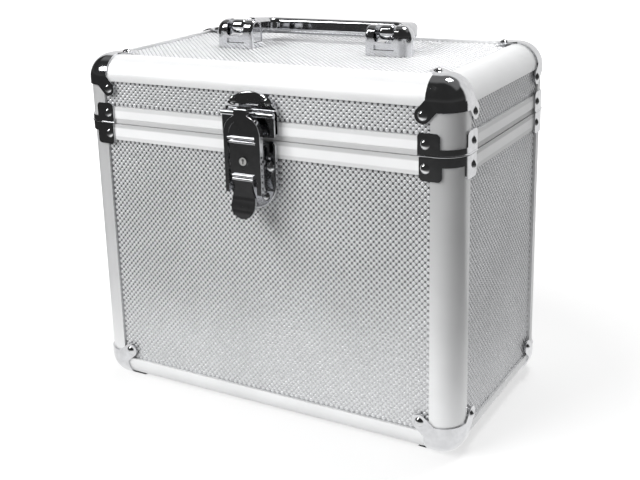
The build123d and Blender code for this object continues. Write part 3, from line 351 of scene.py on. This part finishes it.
for name, node in nodes.items():
    if name.endswith("_panel"):
        setMaterial(node, shadedGroundMetal)
    elif "columns" in name:
        setMaterial(node, columnMetal)
    elif "rail" in name or "rim" in name:
        kind = "rail" if "rail" in name else "rim"
        setMaterial(node, edgeMetal[kind, 0 if name.endswith(("front", "back")) else 1])
    elif name.startswith("lock_plug"):
        setMaterial(node, lockNickel)
    elif "rivets" in name:
        setMaterial(node, rivetChrome)
    elif "pin" in name or "screw" in name:
        setMaterial(node, pinSteel)
    else:
        setMaterial(node, chrome)
print("materials set")


dots = {
    "across": 3.15 * mm,
    "up": 3.4 * mm,
    "radius": 1.12 * mm,
    "height": 0.42 * mm,
    "margin": 0.15 * mm,
    "columnInset": 5 * mm,      # from a panel's end to the column's edge
    "sides": 8,
    "rings": 4,
    "cutHeight": 0.0005 * mm,   # just over the widest ring, which leaves half a ball
}


def dotSheet(name, body, centre, size, turn):
    # one dot is shaped, repeated along two ways, and the sheet of them is doubled with half a step
    bpy.ops.object.select_all(action="DESELECT")
    bpy.ops.mesh.primitive_uv_sphere_add(
        segments=dots["sides"], ring_count=dots["rings"], radius=dots["radius"],
    )
    dot = bpy.context.object
    dot.scale = (1, 1, dots["height"] / dots["radius"])
    applyPlace(dot)
    bpy.ops.object.mode_set(mode="EDIT")
    bpy.ops.mesh.select_all(action="SELECT")
    bpy.ops.mesh.bisect(plane_co=(0, 0, dots["cutHeight"]), plane_no=(0, 0, 1), clear_inner=True)
    bpy.ops.object.mode_set(mode="OBJECT")
    wide = size[0] - 2 * dots["margin"] - 2 * dots["radius"]
    tall = size[1] - 2 * dots["margin"] - 2 * dots["radius"]
    steps = [round(wide / dots["across"]), round(tall / dots["up"])]
    pitch = [wide / steps[0], tall / steps[1]]
    sheets = []
    for half in (0, 1):
        rows = copyOf(dot, name + "Rows")
        for index in (0, 1):
            offset = [0, 0, 0]
            offset[index] = pitch[index]
            applyModifier(
                rows, "ARRAY", count=steps[index] + 1 - half, use_relative_offset=False,
                use_constant_offset=True, constant_offset_displace=offset,
            )
        rows.location = [-pitch[index] * (steps[index] - half) / 2 for index in (0, 1)] + [0]
        applyPlace(rows)
        sheets.append(rows)
    bpy.data.objects.remove(dot)
    sheet = joinAll(sheets, name)
    pickOnly(sheet)
    bpy.ops.object.shade_smooth()
    sheet.rotation_euler = turn
    sheet.location = centre
    applyPlace(sheet)
    setMaterial(sheet, dotMetal)
    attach(sheet, body)


def addDotSheets():
    quarter = math.pi / 2
    middleY = (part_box("left_panel")[0].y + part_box("left_panel")[1].y) / 2
    sideFaces = {
        "front": ((0, "low"), (quarter, 0, 0)),
        "back": ((0, "high"), (quarter, 0, math.pi)),
        "right": ((1, "high"), (quarter, 0, quarter)),
        "left": ((1, "low"), (quarter, 0, -quarter)),
    }
    inset = dots["columnInset"]
    shown = {"case_body": ("body", "bottom_rail", "body_rim"), "lid": ("lid", "top_rail", "lid_rim")}
    for body, (prefix, rail, rim) in shown.items():
        for side, ((across, end), turn) in sideFaces.items():
            panel = f"{side}_panel" if body == "case_body" else f"lid_{side}_panel"
            low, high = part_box(panel)
            railLow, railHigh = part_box(f"{rail}_{side}")
            rimLow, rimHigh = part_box(f"{rim}_{side}")
            bottom = railHigh.z if body == "case_body" else rimHigh.z
            top = rimLow.z if body == "case_body" else railLow.z
            if across == 0:
                wide = high.x - low.x - 2 * inset
                centre = (0, low.y if end == "low" else high.y, (bottom + top) / 2)
            else:
                wide = high.y - low.y - 2 * inset
                centre = (high.x if end == "high" else low.x, middleY, (bottom + top) / 2)
            dotSheet(f"{prefix}Dots{side.capitalize()}", body, centre, (wide, top - bottom), turn)
    low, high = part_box("lid_top_panel")
    wide = high.x - low.x - 2 * inset
    deep = high.y - low.y - 2 * inset
    dotSheet("lidDotsTop", "lid", (0, middleY, high.z), (wide, deep), (0, 0, 0))


addDotSheets()
print("dotted sheets made")


foam = {
    "round": 1.4 * mm,
    "roundAngle": 0.9,
    "shrink": 0.15 * mm,
    "cut": 7 * mm,
    "dent": 0.35 * mm,
    "dentScale": 0.03,
    "dentScaleStep": 0.002,     # each piece has dents of its own size
    "smoothAngle": 0.6,
    "slots": 6,
    "slotWidth": 26.7 * mm,
    "dividerWidth": 8.4 * mm,
    "waveLength": 44 * mm,
    "waveDepth": 5.0 * mm,
    "waveInset": 3 * mm,
    "waveBand": 2.5 * mm,       # the waves lift only what lies this near the pad's underside
}


def foamBlock(name, low, high):
    # a sawn block: a cube with rounded edges, cut finely; finishFoam later dents it a little inwards
    size = [high[i] - low[i] - 2 * foam["shrink"] for i in range(3)]
    centre = [(high[i] + low[i]) / 2 for i in range(3)]
    bpy.ops.object.select_all(action="DESELECT")
    bpy.ops.mesh.primitive_cube_add(size=1, location=centre)
    block = bpy.context.object
    block.name = name
    block.scale = size
    applyPlace(block)
    bpy.ops.object.mode_set(mode="EDIT")
    for axis in range(3):
        cuts = max(1, int(size[axis] / foam["cut"]))
        for index in range(1, cuts):
            place = [0, 0, 0]
            place[axis] = centre[axis] - size[axis] / 2 + index * size[axis] / cuts
            way = [0, 0, 0]
            way[axis] = 1
            bpy.ops.mesh.select_all(action="SELECT")
            bpy.ops.mesh.bisect(plane_co=place, plane_no=way)
    bpy.ops.object.mode_set(mode="OBJECT")
    applyModifier(
        block, "BEVEL", width=foam["round"], segments=3,
        limit_method="ANGLE", angle_limit=foam["roundAngle"],
    )
    return block


def finishFoam(piece, body, seed, *cadNodes):
    clouds = bpy.data.textures.new(f"{piece.name}Clouds", "CLOUDS")
    clouds.noise_scale = foam["dentScale"] + foam["dentScaleStep"] * seed
    applyModifier(piece, "DISPLACE", texture=clouds, strength=-foam["dent"], mid_level=0.0)
    pickOnly(piece)
    bpy.ops.object.shade_smooth_by_angle(angle=foam["smoothAngle"])
    setMaterial(piece, softFoam)
    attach(piece, body)
    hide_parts(*cadNodes)


def addFoam():
    for seed, (name, node) in enumerate([
        ("foamBase", "foam_base_pad"), ("foamFront", "foam_front_strip"), ("foamBack", "foam_back_strip"),
    ]):
        low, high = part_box(node)
        finishFoam(foamBlock(name, low, high), "case_body", seed, node)
    low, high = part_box("foam_dividers")
    pitch = foam["slotWidth"] + foam["dividerWidth"]
    slotsWide = foam["slots"] * foam["slotWidth"] + (foam["slots"] - 1) * foam["dividerWidth"]
    spans = [(low.x, -slotsWide / 2)]
    for index in range(1, foam["slots"]):
        end = -slotsWide / 2 + index * pitch
        spans.append((end - foam["dividerWidth"], end))
    spans.append((slotsWide / 2, high.x))
    walls = []
    for index, (start, end) in enumerate(spans):
        walls.append(foamBlock(f"foamWall{index}", (start, low.y, low.z), (end, high.y, high.z)))
    finishFoam(joinAll(walls, "foamDividers"), "case_body", 4, "foam_dividers")


def addLidFoam():
    # the lid's pad hangs down in rounded waves both ways
    low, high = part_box("lid_foam_pad")
    pad = foamBlock("lidFoam", low, high)
    pickOnly(pad)
    bpy.ops.object.mode_set(mode="EDIT")
    bpy.ops.mesh.select_mode(type="FACE")
    bpy.ops.mesh.select_all(action="SELECT")
    bpy.ops.mesh.subdivide(number_cuts=1)
    bpy.ops.object.mode_set(mode="OBJECT")
    wide, deep = high.x - low.x, high.y - low.y
    turnX = round(wide / foam["waveLength"]) * 2 * math.pi / wide
    turnY = round(deep / foam["waveLength"]) * 2 * math.pi / deep
    for vertex in pad.data.vertices:
        place = vertex.co
        edge = min(place.x - low.x, high.x - place.x, place.y - low.y, high.y - place.y)
        if place.z < low.z + foam["waveBand"] and edge > foam["waveInset"]:
            wave = math.cos((place.x - low.x) * turnX) * math.cos((place.y - low.y) * turnY)
            place.z += foam["waveDepth"] * (0.5 + 0.5 * wave)
    finishFoam(pad, "lid", 6, "lid_foam_pad")


addFoam()
addLidFoam()
print("foam made")


room = {
    "floorSize": 6.0,
    "floorColour": 0.36,
    "floorRoughness": 0.9,
    # lifts the floor to white for the camera, and keeps the shadow
    "floorLift": [(0.18, 0.58), (0.45, 1.0)],
    # in mirrors the floor goes from white to dark: distance in metres and level
    "mirrorNear": [(0.15, 0.95), (0.27, 0.16), (0.45, 0.06), (0.80, 0.03)],
    # behind a slanting line it is white again
    "mirrorSlant": 0.6,
    "mirrorBehind": (-0.10, 0.08),
    "mirrorWhite": 0.85,
    "fill": 0.15,
    "skyTurn": (0.36, 0.56),    # mirrors see the white room where a ray turns back this far
}

sky = {
    "ahead": [(0.0, 0.03), (0.10, 0.05), (0.30, 0.03)],
    "behind": 0.85,
    "ceiling": 0.17,
    "ceilingRise": (0.62, 0.74),
    "ceilingTurn": (-0.18, 0.08),
}

lamps = {
    "keyLight": {"place": (-0.75, -1.25, 0.95), "size": (0.9, 0.9), "power": 29.0, "mirrored": False},
    "glintLight": {"place": (-0.76, -0.71, 1.01), "size": (0.22, 0.80), "power": 4.5, "mirrored": True},
    "sideLight": {"place": (0.75, -1.20, 0.70), "size": (0.8, 0.8), "power": 6.5, "mirrored": False},
    "ceilingLight": {"place": (0, 0.30, 1.50), "size": (1.0, 1.0), "power": 10.0, "mirrored": False},
    "overheadLight": {"place": (0.17, 0.32, 1.20), "size": (0.28, 0.28), "power": 5.0, "mirrored": True},
}
lampAim = (0, 0, 0.1)


def addShaderMix(tree, factor, first, second):
    mix = tree.nodes.new("ShaderNodeMixShader")
    tree.links.new(factor, mix.inputs["Fac"])
    tree.links.new(first, mix.inputs[1])
    tree.links.new(second, mix.inputs[2])
    return mix.outputs["Shader"]


def addFloor():
    bpy.ops.object.select_all(action="DESELECT")
    bpy.ops.mesh.primitive_plane_add(size=room["floorSize"], location=(0, 0, 0))
    floor = bpy.context.object
    floor.name = "studioFloor"
    material, tree, shader, coords = newMaterial("paleFloor")
    shader.inputs["Base Color"].default_value = (room["floorColour"],) * 3 + (1,)
    shader.inputs["Roughness"].default_value = room["floorRoughness"]
    # in mirrors: white near the case and behind it, dark further in front
    place = coords.outputs["Object"]
    reach = tree.nodes.new("ShaderNodeVectorMath")
    reach.operation = "LENGTH"
    tree.links.new(place, reach.inputs[0])
    near = addLevels(tree, reach.outputs["Value"], room["mirrorNear"])
    spot = addSplit(tree, place)
    sideways = addMath(tree, "MULTIPLY", addMath(tree, "ABSOLUTE", spot["X"]), room["mirrorSlant"])
    slanted = addMath(tree, "SUBTRACT", spot["Y"], sideways)
    behind = addStep(tree, slanted, *room["mirrorBehind"], 0.0, room["mirrorWhite"])
    mirrored = tree.nodes.new("ShaderNodeEmission")
    tree.links.new(addMath(tree, "MAXIMUM", near, behind), mirrored.inputs["Strength"])
    lift = tree.nodes.new("ShaderNodeEmission")
    tree.links.new(addLevels(tree, reach.outputs["Value"], room["floorLift"]), lift.inputs["Strength"])
    lifted = tree.nodes.new("ShaderNodeAddShader")
    tree.links.new(shader.outputs["BSDF"], lifted.inputs[0])
    tree.links.new(lift.outputs["Emission"], lifted.inputs[1])
    rays = tree.nodes.new("ShaderNodeLightPath").outputs
    mirrorView, plain = mirrored.outputs["Emission"], shader.outputs["BSDF"]
    unseen = addShaderMix(tree, rays["Is Glossy Ray"], plain, mirrorView)
    seen = addShaderMix(tree, rays["Is Camera Ray"], unseen, lifted.outputs["Shader"])
    tree.links.new(seen, tree.nodes["Material Output"].inputs["Surface"])
    setMaterial(floor, material)


def addWorld():
    # mirrors see a white room behind the case, a dim ceiling and a dark room in front
    world = bpy.data.worlds.new("studio")
    scene.world = world
    world.use_nodes = True
    tree = world.node_tree
    way = addSplit(tree, tree.nodes.new("ShaderNodeTexCoord").outputs["Generated"])
    ahead = addLevels(tree, way["Z"], sky["ahead"])
    risen = addStep(tree, way["Z"], *sky["ceilingRise"])
    turned = addStep(tree, way["Y"], *sky["ceilingTurn"])
    overhead = addMath(tree, "MULTIPLY", risen, turned)
    rays = tree.nodes.new("ShaderNodeLightPath").outputs
    fill = (room["fill"],) * 3 + (1,)
    layers = [
        (addStep(tree, way["Y"], *room["skyTurn"]), ahead, (sky["behind"],) * 3 + (1,)),
        (overhead, None, (sky["ceiling"],) * 3 + (1,)),
        (rays["Is Glossy Ray"], fill, None),
        (rays["Is Transmission Ray"], None, (1, 1, 1, 1)),
        (rays["Is Camera Ray"], None, (1, 1, 1, 1)),
    ]
    last = None
    for factor, first, second in layers:
        mix = tree.nodes.new("ShaderNodeMix")
        mix.data_type = "RGBA"
        tree.links.new(factor, mix.inputs["Factor"])
        for name, value in (("A", first or last), ("B", second or last)):
            if isinstance(value, tuple):
                mix.inputs[name].default_value = value
            else:
                tree.links.new(value, mix.inputs[name])
        last = mix.outputs["Result"]
    tree.links.new(last, tree.nodes["Background"].inputs["Color"])


def addLights():
    for name, lamp in lamps.items():
        light = bpy.data.lights.new(name, "AREA")
        light.shape = "RECTANGLE"
        light.size, light.size_y = lamp["size"]
        light.energy = lamp["power"]
        holder = bpy.data.objects.new(name, light)
        scene.collection.objects.link(holder)
        holder.location = lamp["place"]
        holder.visible_glossy = lamp["mirrored"]
        holder.rotation_mode = "QUATERNION"
        holder.rotation_quaternion = (Vector(lamp["place"]) - Vector(lampAim)).to_track_quat("Z", "Y")


view = {
    "place": (0.29085, -0.51462, 0.29197),
    "azimuth": 32.438,
    "elevation": 15.871,
    "roll": -2.368,
    "lens": 58.892,
    "sensor": 36,
    "shift": (0.0937, -0.0937),
}


def addCamera():
    camera = bpy.data.cameras.new("photoCamera")
    holder = bpy.data.objects.new("photoCamera", camera)
    scene.collection.objects.link(holder)
    azimuth, elevation, roll = (math.radians(view[key]) for key in ("azimuth", "elevation", "roll"))
    ahead = Vector((
        -math.sin(azimuth) * math.cos(elevation),
        math.cos(azimuth) * math.cos(elevation),
        -math.sin(elevation),
    ))
    right = ahead.cross(Vector((0, 0, 1))).normalized()
    above = right.cross(ahead)
    turnedRight = math.cos(roll) * right + math.sin(roll) * above
    turnedUp = -math.sin(roll) * right + math.cos(roll) * above
    facing = Matrix((turnedRight, turnedUp, -ahead)).transposed().to_4x4()
    holder.matrix_world = Matrix.Translation(view["place"]) @ facing
    camera.lens = view["lens"]
    camera.sensor_width = view["sensor"]
    camera.shift_x, camera.shift_y = view["shift"]
    scene.camera = holder


addFloor()
addWorld()
addLights()
addCamera()
print("studio set")
